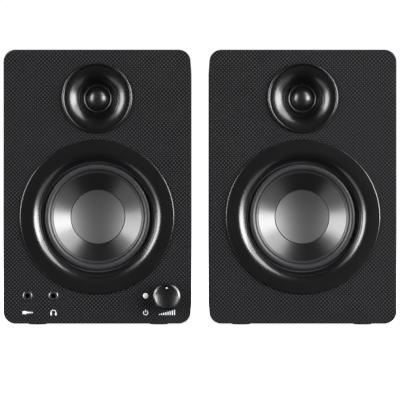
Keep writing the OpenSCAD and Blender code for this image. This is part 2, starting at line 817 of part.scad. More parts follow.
// Two-pin mains inlet with a figure-eight recess
module mains_inlet() {
    recess_r = 4.3;
    recess_d = 10;
    out = 2;
    recess_floor = plate_back + out - recess_d;
    color("#141416") difference() {
        union() {
            slab(34, 18, 3, plate_back, plate_back + out, inlet_x, inlet_z);
            slab(20, 12, 0, plate_back - 16, plate_back + slip, inlet_x, inlet_z);
        }
        for (sx = [-1, 1])
            bar(
                recess_r, recess_floor, plate_back + out + overcut,
                inlet_x + sx * inlet_pin_pitch / 2, inlet_z
            );
        slab(inlet_pin_pitch, 6.4, 0, recess_floor, plate_back + out + overcut, inlet_x, inlet_z);
        at_inlet_screws() bar(screw_shank_r + free, plate_back - overcut, plate_back + out + overcut, 0, 0);
    }
    color("#c9ccd0") for (sx = [-1, 1])
        bar(1.18, recess_floor, recess_floor + 8, inlet_x + sx * inlet_pin_pitch / 2, inlet_z);
}

// Open box that holds the rocker on two pins
module power_switch_frame() {
    color("#141416") difference() {
        union() {
            slab(17, 23, 1.5, plate_back, plate_back + 1.8, switch_x, switch_z);
            slab(14, 20, 0, plate_back - 15, plate_back + slip, switch_x, switch_z);
        }
        slab(11.6, 17.6, 0, plate_back - 12, plate_back + 1.8 + overcut, switch_x, switch_z);
        translate([switch_x - 6.5, plate_back - 1.5, switch_z]) rotate([0, 90, 0])
            cylinder(r = 1.2 + pivot_slip, h = 13);
    }
}

// Drawn tipped to its "on" side, which is the rest position
module power_switch_rocker() {
    half = 7.9;
    color("#1a1a1c") translate([switch_x, plate_back - 1.5, switch_z]) rotate([-switch_tilt, 0, 0]) {
        translate([-5.5, 0, 0]) rotate([90, 0, 90]) linear_extrude(11)
            polygon([[-4, -4], [-4, 4], [1.6, half], [3.4, half], [2, 0], [3.4, -half], [1.6, -half]]);
        translate([-6.4, 0, 0]) rotate([0, 90, 0]) cylinder(r = 1.2, h = 12.8);
    }
}

// Board with the tweeter's filter, behind the passive speaker's clips
module passive_crossover() {
    z = passive_clip_z + 48;
    board_back = panel_front - 6;
    color("#1f5a3a") slab(52, 34, 1, board_back - 1.6, board_back, 0, z);
    color("#2a2c30") for (sx = [-1, 1], sz = [-1, 1])
        bar(2, board_back, panel_front, sx * 22, z + sz * 13);
    color("#b8a23a") bar(6, board_back - 17.6, board_back - 1.6, -13, z);
    color("#8a5a2a") bar(9, board_back - 11.6, board_back - 1.6, 11, z);
}

// ---------- fasteners ----------

module driver_screws() {
    at_four(screw_circle_r, 0, woofer_z) pan_screw(0, flange_d, 0, baffle_t - flange_d - 0.5, 1);
    at_tweeter_screws()
        pan_screw(0, waveguide_d + tweeter_plate_t, 0, 7, -1, head_r = 2.1, shank_r = 1.05);
}

module active_screws() {
    color("#2a2b2d") {
        driver_screws();
        at_plate_screws() pan_screw(0, plate_back, 0, amp_plate_t + back_panel_t - 1, -1);
        at_clip_screws(active_clip_x, active_clip_z)
            pan_screw(0, plate_back + clip_bezel_t, 0, clip_bezel_t + amp_plate_t + 2, -1, head_r = 2.5);
        at_inlet_screws() pan_screw(0, plate_back + 2, 0, amp_plate_t + 4, -1, head_r = 2.4);
    }
}

module passive_screws() {
    color("#2a2b2d") {
        driver_screws();
        at_clip_screws(0, passive_clip_z)
            pan_screw(0, panel_back + clip_bezel_t, 0, clip_bezel_t + back_panel_t - 1, -1, head_r = 2.5);
    }
}

// ---------- the active speaker ----------

on_active() cabinet_sleeve();  // active_cabinet_sleeve
on_active() front_baffle(true);  // active_front_baffle
on_active() active_back_panel();
on_active() feet();  // active_feet
on_active() woofer_trim_ring();  // active_woofer_trim_ring
on_active() woofer_basket();  // active_woofer_basket
on_active() woofer_surround();  // active_woofer_surround
on_active() woofer_cone();  // active_woofer_cone
on_active() woofer_dust_cap();  // active_woofer_dust_cap
on_active() woofer_voice_coil();  // active_woofer_voice_coil
on_active() woofer_spider();  // active_woofer_spider
on_active() woofer_top_plate();  // active_woofer_top_plate
on_active() woofer_magnet();  // active_woofer_magnet
on_active() woofer_yoke();  // active_woofer_yoke
on_active() tweeter_waveguide();  // active_tweeter_waveguide
on_active() tweeter_dome();  // active_tweeter_dome
on_active() tweeter_motor();  // active_tweeter_motor
on_active() reflex_port();  // active_reflex_port
on_active() clip_block(active_clip_x, plate_back, active_clip_z);  // active_clip_block
on_active() clip_lever_red(active_clip_x, plate_back, active_clip_z);  // active_clip_lever_red
on_active() clip_lever_black(active_clip_x, plate_back, active_clip_z);  // active_clip_lever_black
on_active() active_screws();
on_active() control_board();
on_active() volume_knob();
on_active() volume_shaft();
on_active() volume_pot();
on_active() power_led();
on_active() aux_jack();
on_active() headphone_jack();
on_active() amp_plate();
on_active() amp_board();
on_active() heatsink();
on_active() transformer();
on_active() phono_sockets();
on_active() mains_inlet();
on_active() power_switch_frame();
on_active() power_switch_rocker();

// ---------- the passive speaker ----------

on_passive() cabinet_sleeve();  // passive_cabinet_sleeve
on_passive() front_baffle(false);  // passive_front_baffle
on_passive() passive_back_panel();
on_passive() feet();  // passive_feet
on_passive() woofer_trim_ring();  // passive_woofer_trim_ring
on_passive() woofer_basket();  // passive_woofer_basket
on_passive() woofer_surround();  // passive_woofer_surround
on_passive() woofer_cone();  // passive_woofer_cone
on_passive() woofer_dust_cap();  // passive_woofer_dust_cap
on_passive() woofer_voice_coil();  // passive_woofer_voice_coil
on_passive() woofer_spider();  // passive_woofer_spider
on_passive() woofer_top_plate();  // passive_woofer_top_plate
on_passive() woofer_magnet();  // passive_woofer_magnet
on_passive() woofer_yoke();  // passive_woofer_yoke
on_passive() tweeter_waveguide();  // passive_tweeter_waveguide
on_passive() tweeter_dome();  // passive_tweeter_dome
on_passive() tweeter_motor();  // passive_tweeter_motor
on_passive() reflex_port();  // passive_reflex_port
on_passive() clip_block(0, panel_back, passive_clip_z);  // passive_clip_block
on_passive() clip_lever_red(0, panel_back, passive_clip_z);  // passive_clip_lever_red
on_passive() clip_lever_black(0, panel_back, passive_clip_z);  // passive_clip_lever_black
on_passive() passive_screws();
on_passive() passive_crossover();
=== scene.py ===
import math
from collections import namedtuple

import bmesh
import bpy
from mathutils import Matrix, Vector


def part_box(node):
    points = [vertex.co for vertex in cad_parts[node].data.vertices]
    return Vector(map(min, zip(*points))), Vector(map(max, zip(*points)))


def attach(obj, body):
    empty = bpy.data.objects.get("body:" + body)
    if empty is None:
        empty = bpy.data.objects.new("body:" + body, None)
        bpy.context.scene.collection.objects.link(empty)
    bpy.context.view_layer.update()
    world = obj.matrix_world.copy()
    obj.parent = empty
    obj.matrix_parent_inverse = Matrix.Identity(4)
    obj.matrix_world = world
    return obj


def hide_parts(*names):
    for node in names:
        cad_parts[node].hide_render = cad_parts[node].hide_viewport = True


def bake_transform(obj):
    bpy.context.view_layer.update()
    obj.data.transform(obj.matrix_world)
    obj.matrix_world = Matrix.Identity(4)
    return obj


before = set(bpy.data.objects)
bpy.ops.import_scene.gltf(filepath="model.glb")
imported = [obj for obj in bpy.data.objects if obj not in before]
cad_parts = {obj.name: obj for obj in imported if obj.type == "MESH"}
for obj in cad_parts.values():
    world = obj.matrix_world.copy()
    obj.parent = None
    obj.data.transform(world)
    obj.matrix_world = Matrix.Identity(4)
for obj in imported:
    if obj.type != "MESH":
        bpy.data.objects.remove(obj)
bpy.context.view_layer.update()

bl_info = {
    "name": "Desktop Speakers",
    "version": (1, 0, 0),
    "blender": (4, 5, 0),
    "location": "View3D > Sidebar > Speakers",
    "description": "Models and finishes a pair of powered two-way desktop speakers",
    "category": "Object",
}

MM = 0.001
SIDES = ("active", "passive")
ROUND_STEPS = 144  # steps round a large turned piece
SMALL_STEPS = 64  # steps round a knob, ring or lens
WAVE_REPEAT = math.pi / 10  # how often a wave node repeats at a scale of 1
# Every other pattern's scale is its marks in a millimetre, over MM
SHARP_ANGLE = 35.0  # an edge of a CAD node that turns further than this is rounded
SINK = 0.02 * MM  # keeps two faces from lying in one plane
AIM_HEIGHT = 0.11  # height on the speakers that the lights point at
PAPER_RADIUS, PAPER_WALL, PAPER_BEND = 12.0, 9.0, 3.0  # the backdrop's, in metres

Place = namedtuple("Place", "side x face body woofer tweeter")


def middle(node):
    """The middle of a CAD node's box."""
    lo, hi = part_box(node)
    return (Vector(lo) + Vector(hi)) / 2


def place(side):
    """Where one speaker stands: its middle's x, its baffle's y and the heights of its drivers."""
    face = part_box(f"{side}_front_baffle")[0][1]
    woofer = middle(f"{side}_woofer_trim_ring")
    tweeter = middle(f"{side}_tweeter_waveguide")
    return Place(side, woofer.x, face, f"{side}_cabinet", woofer.z, tweeter.z)


# ---------- colours and materials ----------


def linear(code):
    """An opaque sRGB hex colour as linear values."""
    channels = [int(code[i : i + 2], 16) / 255 for i in (0, 2, 4)]
    return [c / 12.92 if c <= 0.04045 else ((c + 0.055) / 1.055) ** 2.4 for c in channels] + [1.0]


def add(tree, kind, values=None, links=None, stops=(), **settings):
    """Adds a node to a tree with its values, settings and colour stops, and links outputs into it."""
    new = tree.nodes.new(kind)
    for key, value in settings.items():
        setattr(new, key, value)
    for key, value in (values or {}).items():
        new.inputs[key].default_value = value
    for key, output in (links or {}).items():
        tree.links.new(output, new.inputs[key])
    for i, (position, tone) in enumerate(stops):
        stop = new.color_ramp.elements[i]
        stop.position = position
        stop.color = tone
    return new


def start_material(name, **values):
    """A material with one Principled shader, whose plain values are set on its own sockets."""
    material = bpy.data.materials.new(name)
    material.use_nodes = True
    tree = material.node_tree
    shader = tree.nodes["Principled BSDF"]
    for key, value in values.items():
        shader.inputs[key.replace("_", " ")].default_value = value
    return material, tree, shader


def grey(value):
    """A plain number as a colour stop."""
    return [value, value, value, 1.0]


def darkened(colour, share):
    """A share of a linear colour."""
    return [c * share for c in colour[:3]] + [1.0]


def mapped(tree, scale=(1, 1, 1), rotation=(0, 0, 0)):
    """Object coordinates, turned and stretched."""
    coordinates = add(tree, "ShaderNodeTexCoord").outputs["Object"]
    return add(
        tree, "ShaderNodeMapping", {"Scale": scale, "Rotation": rotation}, {"Vector": coordinates}
    ).outputs["Vector"]


def surface(tree, shader, colour, roughness=None, height=None, strength=1.0, depth=0.0):
    """Links a material's patterns to its shader: (pattern, stops) for colour and for roughness,
    and a height whose full range is depth metres."""
    for socket, pattern in (("Base Color", colour), ("Roughness", roughness)):
        if pattern:
            factor, stops = pattern
            tones = add(tree, "ShaderNodeValToRGB", links={"Fac": factor}, stops=stops)
            tree.links.new(tones.outputs["Color"], shader.inputs[socket])
    if height:
        relief = add(
            tree, "ShaderNodeBump", {"Strength": strength, "Distance": depth}, {"Height": height}
        )
        tree.links.new(relief.outputs["Normal"], shader.inputs["Normal"])


def crossed_threads(tree, where, pitch, operation, distortion=0.0):
    """Two sets of threads of the given pitch, along X and Z, combined into one height."""
    scale = WAVE_REPEAT / pitch
    threads = [
        add(
            tree,
            "ShaderNodeTexWave",
            {"Scale": scale, "Distortion": distortion},
            {"Vector": where},
            bands_direction=axis,
        ).outputs["Fac"]
        for axis in ("X", "Z")
    ]
    return add(
        tree, "ShaderNodeMath", links=dict(enumerate(threads)), operation=operation
    ).outputs["Value"]


def woven_vinyl(colours):
    """PVC film embossed with a fine diagonal weave, laminated to the baffle: dark grey broken into points.
    The real thread is finer than the eye can hold at arm's length, so it is drawn at 2 mm."""
    material, tree, shader = start_material(
        "embossed_woven_vinyl", IOR=1.53, Specular_IOR_Level=0.1
    )
    where = mapped(tree)
    # The threads cross at 45 degrees on the front, and run on round the baffle's edge
    half = math.sqrt(0.5)
    along, across = (
        add(
            tree, "ShaderNodeVectorMath", {1: direction}, {0: where}, operation="DOT_PRODUCT"
        ).outputs["Value"]
        for direction in ((half, 1, half), (-half, 0, half))
    )
    diagonal = add(tree, "ShaderNodeCombineXYZ", links={"X": along, "Z": across}).outputs["Vector"]
    weave = crossed_threads(tree, diagonal, colours.weave_pitch, "MULTIPLY")
    cloud, speckle = (
        add(
            tree, "ShaderNodeTexNoise", {"Scale": scale, "Detail": detail}, {"Vector": where}
        ).outputs["Fac"]
        for scale, detail in ((0.06 / MM, 2.0), (0.9 / MM, 1.0))
    )
    uneven = add(
        tree,
        "ShaderNodeValToRGB",
        links={"Fac": speckle},
        stops=[(0.0, grey(0.5)), (1.0, grey(1.6))],
    ).outputs["Color"]
    pattern = add(
        tree, "ShaderNodeMath", {2: -0.25}, {0: weave, 1: uneven}, operation="MULTIPLY_ADD"
    ).outputs["Value"]
    tones = [(0.0, list(colours.weave_low)), (0.45, list(colours.weave_high))]
    rough = [(0.3, grey(0.52)), (0.7, grey(0.60))]
    surface(tree, shader, (pattern, tones), (cloud, rough), weave, 0.35, 0.00012)
    return material


def grained_vinyl(colours):
    """PVC film with a pebbled grain, wrapped round the sleeve: broken highlights on dull black."""
    material, tree, shader = start_material(
        "pebbled_black_vinyl", IOR=1.53, Specular_IOR_Level=0.15
    )
    where = mapped(tree)
    pebbles = add(
        tree, "ShaderNodeTexVoronoi", {"Scale": 1.4 / MM, "Randomness": 0.9}, {"Vector": where}
    ).outputs["Distance"]
    cloud = add(
        tree, "ShaderNodeTexNoise", {"Scale": 0.045 / MM, "Detail": 3.0}, {"Vector": where}
    ).outputs["Fac"]
    tones = [(0.1, list(colours.sleeve)), (0.8, linear("0c0c0d"))]
    rough = [(0.3, grey(0.66)), (0.7, grey(0.70))]
    surface(tree, shader, (pebbles, tones), (cloud, rough), pebbles, 0.3, 0.0001)
    return material


def moulded(name, colour, roughness, grain=0.0004, depth=0.00002, **values):
    """Injection-moulded plastic or rubber with a spark-eroded texture of the given grain: satin."""
    material, tree, shader = start_material(name, IOR=1.5, **values)
    where = mapped(tree)
    fine, broad = (
        add(
            tree, "ShaderNodeTexNoise", {"Scale": scale, "Detail": 2.0}, {"Vector": where}
        ).outputs["Fac"]
        for scale in (1 / grain, 0.038 / MM)
    )
    tones = [(0.3, darkened(colour, 0.82)), (0.7, list(colour))]
    rough = [(0.3, grey(roughness - 0.012)), (0.7, grey(roughness + 0.012))]
    surface(tree, shader, (fine, tones), (broad, rough), fine, 0.25, depth)
    return material


def brushed(name, colour, roughness, metallic=1.0, stretch=(1, 1, 40)):
    """Plated or turned metal: fine streaks along one direction over a clean reflection."""
    material, tree, shader = start_material(name, Metallic=metallic)
    streaks = add(
        tree,
        "ShaderNodeTexNoise",
        {"Scale": 0.26 / MM, "Detail": 3.0},
        {"Vector": mapped(tree, scale=stretch)},
    ).outputs["Fac"]
    tones = [(0.3, darkened(colour, 0.75)), (0.7, list(colour))]
    rough = [(0.3, grey(roughness)), (0.7, grey(roughness + 0.08))]
    surface(tree, shader, (streaks, tones), (streaks, rough), streaks, 0.12, 0.00001)
    return material


def cloth(name, colour, other, thread, roughness, **values):
    """Treated cloth with crossed threads of the given pitch: dull, with the coating's faint sheen."""
    material, tree, shader = start_material(name, Roughness=roughness, **values)
    weave = crossed_threads(tree, mapped(tree), thread, "ADD", distortion=0.6)
    tones = [(0.2, list(colour)), (0.9, list(other))]
    surface(tree, shader, (weave, tones), height=weave, strength=0.15, depth=0.00003)
    return material


def circuit_board(name):
    """Glass-epoxy board under green solder mask: darker where copper tracks run beneath it."""
    material, tree, shader = start_material(name, Roughness=0.32, IOR=1.5, Coat_Weight=0.3)
    tracks = add(
        tree,
        "ShaderNodeTexBrick",
        {
            "Scale": 0.06 / MM,
            "Color1": linear("1f6a3c"),
            "Color2": linear("17552f"),
            "Mortar": linear("0f3d22"),
            "Mortar Size": 0.03,
        },
        {"Vector": mapped(tree, rotation=(math.radians(90), 0, 0))},
    )
    tree.links.new(tracks.outputs["Color"], shader.inputs["Base Color"])
    surface(tree, shader, None, height=tracks.outputs["Fac"], strength=0.2, depth=0.00003)
    return material


def copper_winding(name):
    """Enamelled copper wire laid side by side, 0.25 mm across: bands along the coil's axis."""
    material, tree, shader = start_material(name, Metallic=1.0, Roughness=0.3)
    turns = add(
        tree,
        "ShaderNodeTexWave",
        {"Scale": WAVE_REPEAT / (0.25 * MM)},
        {"Vector": mapped(tree)},
        bands_direction="Y",
    ).outputs["Fac"]
    tones = [(0.1, linear("7a3f1c")), (0.7, linear("c47a45"))]
    surface(tree, shader, (turns, tones), height=turns, strength=0.4, depth=0.00006)
    return material


def lens_plastic(name):
    """White diffusing acrylic over an indicator lamp: milky, with a polished skin."""
    material, tree, shader = start_material(
        name,
        IOR=1.49,
        Coat_Weight=0.6,
        Coat_Roughness=0.08,
        Subsurface_Weight=0.2,
        Subsurface_Scale=0.001,
        Emission_Strength=0.22,
        Emission_Color=linear("e8ecf0"),
    )
    cloud = add(
        tree, "ShaderNodeTexNoise", {"Scale": 0.7 / MM, "Detail": 2.0}, {"Vector": mapped(tree)}
    ).outputs["Fac"]
    tones = [(0.3, linear("8f9296")), (0.7, linear("b4b7ba"))]
    rough = [(0.3, grey(0.3)), (0.7, grey(0.4))]
    surface(tree, shader, (cloud, tones), (cloud, rough))
    return material


def make_finishes(colours):
    """Every finish of the pair, by name."""
    return {
        "weave": woven_vinyl(colours),
        "sleeve": grained_vinyl(colours),
        # Moulded ABS, satin: a broad dim highlight on the ring and the waveguide
        "trim": moulded(
            "satin_black_abs", colours.trim, 0.24, 0.0005, 0.000002, Specular_IOR_Level=0.7
        ),
        # The same plastic with a finer texture on the waveguide
        "horn": moulded(
            "fine_satin_black_abs", colours.trim, 0.25, 0.0004, 0.0000015, Specular_IOR_Level=0.55
        ),
        # Butyl rubber: charcoal, a little bloom, a wide soft highlight
        "surround": moulded("butyl_rubber", colours.surround, 0.42, 0.0003, 0.00001),
        # Mica-filled polypropylene: grey-black with a silky metallic-looking gloss
        "cone": moulded(
            "mica_polypropylene", colours.cone, 0.30, 0.0003, 0.000003, Specular_IOR_Level=0.75
        ),
        "cap": moulded(
            "mica_polypropylene_cap", colours.cap, 0.44, 0.0003, 0.000004, Specular_IOR_Level=1.0
        ),
        # Black rubber cement in a fine bead, near black: partly a real glue bead, partly painted shade in
        # the crease round the dust cap. A matt dark line
        "glue_and_shade": moulded(
            "black_cement_and_shade", linear("030303"), 0.7, 0.0004, 0.000004, Specular_IOR_Level=0.2
        ),
        # Polycarbonate with a soft satin face
        "knob": moulded(
            "satin_black_polycarbonate", colours.trim, 0.26, 0.0003, 0.000005,
            Specular_IOR_Level=0.8,
        ),
        # Styrene, nylon and ABS mouldings: soft highlights, sharper on the levers
        "port": moulded("satin_black_styrene", linear("161618"), 0.40, 0.0005, 0.00002),
        "clip": moulded("black_nylon", linear("151517"), 0.42, 0.0005, 0.00002),
        "lever_red": moulded("red_abs", linear("a51d1a"), 0.28, 0.0006, 0.00001),
        "lever_black": moulded("gloss_black_abs", linear("121213"), 0.26, 0.0006, 0.00001),
        "phono_red": moulded("red_nylon", linear("a8211d"), 0.35, 0.0005, 0.00001),
        "phono_white": moulded("white_nylon", linear("d9d9d6"), 0.38, 0.0005, 0.00001),
        # Rubber, powder coat and sprayed board: matt, with no clear highlight
        "foot": moulded("moulded_rubber_foot", linear("1a1a1a"), 0.7, 0.0006, 0.00004),
        "plate": moulded("black_powder_coat", linear("1a1a1c"), 0.5, 0.0006, 0.00004),
        "back": moulded("sprayed_black_fibreboard", linear("171718"), 0.6, 0.0008, 0.00004),
        # Ink: flat pale grey
        "print": moulded("screen_printed_ink", linear("b9bbbe"), 0.5, 0.0006, 0.000004),
        # The motor's and the transformer's parts: dark and dull
        "ferrite": moulded("ground_ferrite", linear("2a2a2d"), 0.45, 0.0008, 0.00003),
        "core": moulded("varnished_laminations", linear("3b3a38"), 0.45, 0.0006, 0.00004),
        "basket": moulded("stoved_black_paint", linear("26272a"), 0.4, 0.0008, 0.00003),
        # Silk under a tacky coating, near black with small highlights, and matt tan cotton
        "silk": cloth(
            "coated_silk", linear("070708"), linear("0e0e10"), 0.0003, 0.3, Coat_Weight=0.25
        ),
        "spider": cloth("resin_stiffened_cotton", linear("8a6426"), linear("b98a3a"), 0.0006, 0.8),
        # Nickel plate with a dark flash over it: a dim gleam round the jacks
        "jack": brushed("dark_nickel_plate", linear("6d6f73"), 0.22),
        # Plated and blacked steel and aluminium: fine streaks, brightest along the edges
        "nickel": brushed("nickel_plate", linear("b4b6b8"), 0.2, stretch=(1, 40, 1)),
        "zinc": brushed("zinc_plated_steel", linear("8f9295"), 0.32),
        "screw": brushed("black_oxide_steel", linear("2c2d2f"), 0.35, metallic=0.8),
        "alloy": brushed("extruded_aluminium", linear("a5a8ab"), 0.3, stretch=(1, 1, 30)),
        "shaft": brushed("turned_aluminium", linear("b2b4b7"), 0.25, stretch=(1, 40, 1)),
        "board": circuit_board("green_circuit_board"),
        "copper": copper_winding("enamelled_copper_wire"),
        "lens": lens_plastic("white_acrylic_lens"),
    }


FINISHES = {}


def finish_of(name):
    """One of the finishes, which are made the first time one is asked for."""
    if not FINISHES:
        FINISHES.update(make_finishes(bpy.context.scene.speaker_colours))
    return FINISHES[name]


# ---------- building tools ----------


def make_object(name, bm, material, smooth_angle=40.0):
    """A new object at the origin from a bmesh, smooth except at its sharp edges."""
    mesh = bpy.data.meshes.new(name)
    bm.to_mesh(mesh)
    bm.free()
    mesh.materials.append(material)
    mesh.polygons.foreach_set("use_smooth", [True] * len(mesh.polygons))
    mesh.set_sharp_from_angle(angle=math.radians(smooth_angle))
    new = bpy.data.objects.new(name, mesh)
    bpy.context.scene.collection.objects.link(new)
    return new


def turned(name, path, centre, finish, steps=ROUND_STEPS):
    """A closed outline turned about an axis along Y. A path entry is a point (radius, depth), a point with
    a rounding (radius, depth, rounding), or an arc ("arc", (radius, depth) of its pivot, degrees, steps)."""
    bm = bmesh.new()
    rounded = []
    first = last = None
    for entry in path:
        if entry[0] == "arc":
            _, pivot, degrees, count = entry
            swept = bmesh.ops.spin(
                bm,
                geom=[last],
                cent=(*pivot, 0),
                axis=(0, 0, 1),
                angle=math.radians(degrees),
                steps=count,
            )
            last = next(g for g in swept["geom_last"] if isinstance(g, bmesh.types.BMVert))
            continue
        vert = bm.verts.new((entry[0], entry[1], 0))
        if last is not None:
            bm.edges.new((last, vert))
        if len(entry) > 2:
            rounded.append((vert, entry[2]))
        first = first or vert
        last = vert
    bm.edges.new((last, first))
    for vert, rounding in rounded:
        bmesh.ops.bevel(
            bm,
            geom=[vert],
            offset=rounding,
            offset_type="OFFSET",
            segments=24 if rounding > 3 * MM else 5,
            profile=0.5,
            affect="VERTICES",
            material=-1,
        )
    bmesh.ops.remove_doubles(bm, verts=bm.verts, dist=1e-7)
    bmesh.ops.spin(
        bm,
        geom=bm.verts[:] + bm.edges[:],
        cent=(0, 0, 0),
        axis=(0, 1, 0),
        angle=math.tau,
        steps=steps,
        use_merge=True,
    )
    bmesh.ops.remove_doubles(bm, verts=bm.verts, dist=1e-6)
    bmesh.ops.dissolve_degenerate(bm, edges=bm.edges, dist=1e-7)
    bmesh.ops.recalc_face_normals(bm, faces=bm.faces)
    bmesh.ops.translate(bm, vec=centre, verts=bm.verts)
    return make_object(name, bm, finish_of(finish))


def refined(node, finish, edge, segments=2, only=None):
    """A merged copy of a CAD node with its sharp edges rounded, which stands for that node."""
    bm = bmesh.new()
    bm.from_mesh(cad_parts[node].data)
    bmesh.ops.remove_doubles(bm, verts=bm.verts, dist=2e-6)
    bmesh.ops.dissolve_limit(
        bm, angle_limit=math.radians(0.4), verts=bm.verts, edges=bm.edges
    )
    limit = math.radians(SHARP_ANGLE)
    sharp = [
        e
        for e in bm.edges
        if e.is_manifold and e.calc_face_angle(0) > limit and (only is None or only(e))
    ]
    bmesh.ops.bevel(
        bm,
        geom=sharp,
        offset=edge,
        offset_type="OFFSET",
        segments=segments,
        profile=0.5,
        affect="EDGES",
        clamp_overlap=True,
        material=-1,
    )
    new = make_object(f"{node}_finished", bm, finish_of(finish))
    weighted = new.modifiers.new("flat_faces", "WEIGHTED_NORMAL")
    weighted.keep_sharp = True
    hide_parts(node)
    return new


def paint(node, name):
    """Gives a CAD node one of the finishes."""
    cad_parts[node].material_slots[0].material = finish_of(name)


def finish_piece(piece, body, slot, *nodes):
    """Sets what a new piece rides on, and hides the CAD nodes that it stands for. The slot is not used."""
    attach(piece, body)
    if nodes:
        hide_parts(*nodes)
    return piece


# ---------- sizes and colours that can be changed ----------


def length(name, description, default):
    """A size in metres."""
    return bpy.props.FloatProperty(
        name=name, description=description, default=default, unit="LENGTH", subtype="DISTANCE"
    )


def colour(name, description, code):
    """A colour from its sRGB hex value."""
    return bpy.props.FloatVectorProperty(
        name=name, description=description, default=linear(code), size=4, subtype="COLOR",
        min=0.0, max=1.0,
    )


def watts(name, description, default):
    """The power of a light."""
    return bpy.props.FloatProperty(
        name=name, description=description, default=default, unit="POWER"
    )


class SpeakerSizes(bpy.types.PropertyGroup):
    edge: length("Edge", "Rounding of the cabinet's edges", 0.7 * MM)
    ring_land: length("Ring land", "Radius where the ring's lip starts to roll in", 49.6 * MM)
    ring_lip: length("Ring lip", "Radius of the rolled lip", 8.0 * MM)
    ring_shell: length("Ring shell", "Wall of the trim ring", 2.0 * MM)
    roll_outer: length("Roll outside", "Outer radius of the surround's roll", 40.6 * MM)
    roll_width: length("Roll width", "Width of the surround's roll", 5.8 * MM)
    cone_outer: length("Cone rim", "Radius where the cone's slope starts", 33.4 * MM)
    cap_radius: length("Dust cap", "Radius of the dished dust cap", 20.2 * MM)
    cap_sag: length("Dust cap dish", "Depth of the dust cap's dish", 3.0 * MM)
    dome_radius: length("Dome", "Radius of the tweeter's dome", 9.2 * MM)
    dome_sphere: length("Dome curve", "Radius of the sphere the dome is part of", 12.2 * MM)
    knob_face: length("Knob face", "Radius of the knob's front face", 8.7 * MM)
    knob_dish: length("Knob dish", "Depth of the dish in the knob's face", 1.5 * MM)
    print_height: length("Legend height", "Height of the printed symbols", 4.2 * MM)


class SpeakerColours(bpy.types.PropertyGroup):
    weave_pitch: length("Weave pitch", "Thread spacing of the baffle's embossed weave", 2.0 * MM)
    weave_low: colour("Weave low", "Colour in the hollows of the weave", "020203")
    weave_high: colour("Weave high", "Colour on the crowns of the weave", "29292b")
    sleeve: colour("Sleeve", "Colour of the sleeve's vinyl", "141415")
    trim: colour("Trim", "Colour of the ring, the waveguide and the knob", "050506")
    surround: colour("Surround", "Colour of the surround's rubber", "1c1c1e")
    cone: colour("Cone", "Colour of the cone", "070708")
    cap: colour("Dust cap", "Colour of the dust cap", "1a1a1c")


class SpeakerStage(bpy.types.PropertyGroup):
    distance: length("Camera distance", "From the camera to the baffles", 1.8)
    view_width: length("View width", "Width that the camera sees at the baffles", 299.2 * MM)
    camera_height: length("Camera height", "Height of the camera above the desk", 94.0 * MM)
    right_light: watts("Right light", "Power of the right soft box", 206.0)
    right_high_light: watts("Right high light", "Power of the soft box above it", 62.0)
    left_light: watts("Left light", "Power of the left soft box", 119.0)
    right_tall_light: watts("Right tall light", "Power of the dim tall soft box at the right", 42.0)
    left_tall_light: watts("Left tall light", "Power of the dim tall soft box at the left", 42.0)
    right_side_light: watts("Right side light", "Power of the soft box at the right side", 206.0)
    left_side_light: watts("Left side light", "Power of the soft box at the left side", 106.0)
    top_light: watts("Top light", "Power of the soft box overhead", 25.0)
    back_light: watts("Back light", "Power of the soft box behind the speakers", 88.0)
    floor_light: watts("Floor light", "Power of the overhead light on the floor", 75.0)
    paper_glow: bpy.props.FloatProperty(
        name="Paper glow", description="Light that the floor and backdrop give off", default=0.96
    )
    room_light: bpy.props.FloatProperty(
        name="Room light", description="Even light from all round", default=0.05
    )


# ---------- one operator for each piece or group of like pieces ----------


class SPEAKERS_OT_cabinets(bpy.types.Operator):
    """Sleeves, woven baffles, back panels and rubber feet"""

    bl_idname = "speakers.cabinets"
    bl_label = "Cabinets"

    def execute(self, context):
        edge = context.scene.speaker_sizes.edge
        for side in SIDES:
            body = f"{side}_cabinet"
            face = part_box(f"{side}_front_baffle")[0][1]

            def at_front(e):
                return all(abs(v.co.y - face) < 1e-5 for v in e.verts)

            baffle = refined(f"{side}_front_baffle", "weave", edge, segments=3, only=at_front)
            finish_piece(baffle, body, "baffle_vinyl")
            for part, finish, slot, rounding in (
                ("cabinet_sleeve", "sleeve", "cabinet_vinyl", edge * 0.7),
                ("back_panel", "back", "back_paint", edge * 0.4),
                ("feet", "foot", "foot_rubber", edge * 0.5),
            ):
                piece = refined(f"{side}_{part}", finish, rounding)
                finish_piece(piece, body, slot)
        return {"FINISHED"}


class SPEAKERS_OT_trim_rings(bpy.types.Operator):
    """Woofer trim rings: a flat land with a bright edge, and a lip that rolls in"""

    bl_idname = "speakers.trim_rings"
    bl_label = "Woofer trim rings"

    def execute(self, context):
        sizes = context.scene.speaker_sizes
        land, lip, shell = sizes.ring_land, sizes.ring_lip, sizes.ring_shell
        for at in map(place, SIDES):
            lo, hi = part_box(f"{at.side}_woofer_trim_ring")
            outer = (hi[0] - lo[0]) / 2
            proud = at.face - lo[1]
            back = hi[1] - at.face
            inner = land - lip
            edge = 0.5 * MM
            skirt, skirt_depth = land + 2.3 * MM, 6 * MM
            path = [
                (outer, 0),
                (outer, edge - proud, 0.12 * MM),
                (outer - edge, -proud, 0.12 * MM),
                (inner, -proud, lip),
                (inner, back, 0.2 * MM),
                (inner + shell, back),
                (inner + shell, shell - proud, lip - shell),
                (land, shell - proud),
                (land, skirt_depth),
                (skirt, skirt_depth),
                (skirt, 0),
            ]
            piece = turned(f"{at.side}_trim_ring", path, (at.x, at.face, at.woofer), "trim")
            finish_piece(piece, at.body, "trim_plastic", f"{at.side}_woofer_trim_ring")
        return {"FINISHED"}


